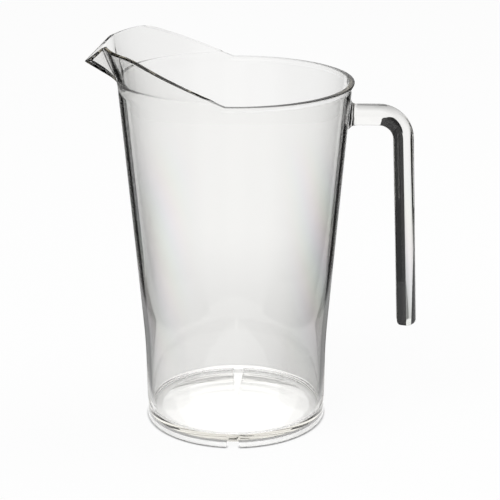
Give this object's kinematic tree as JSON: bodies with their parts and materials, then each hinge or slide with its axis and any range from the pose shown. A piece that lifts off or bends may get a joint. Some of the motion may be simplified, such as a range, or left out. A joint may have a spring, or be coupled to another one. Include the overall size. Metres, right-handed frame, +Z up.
{
  "type": "table pitcher",
  "caption": "Clear moulded table pitcher: tapered vessel with a raised V-shaped pouring lip and drained foot ring, and an open J-shaped handle bar welded under the rim.",
  "frame": {"origin": "middle of the footprint from the spout's tip to the handle, on the table under the foot ring", "axes": "+Z up along the vessel's axis, +X from the spout towards the handle, +Y to the side that is left when pouring"},
  "size_m": [0.207, 0.1462, 0.2443],
  "materials": {
    "clear_plastic": "polished, clear and colourless"
  },
  "bodies": {
    "root": {"vessel": "clear_plastic", "handle": "clear_plastic"}
  },
  "joints": []
}
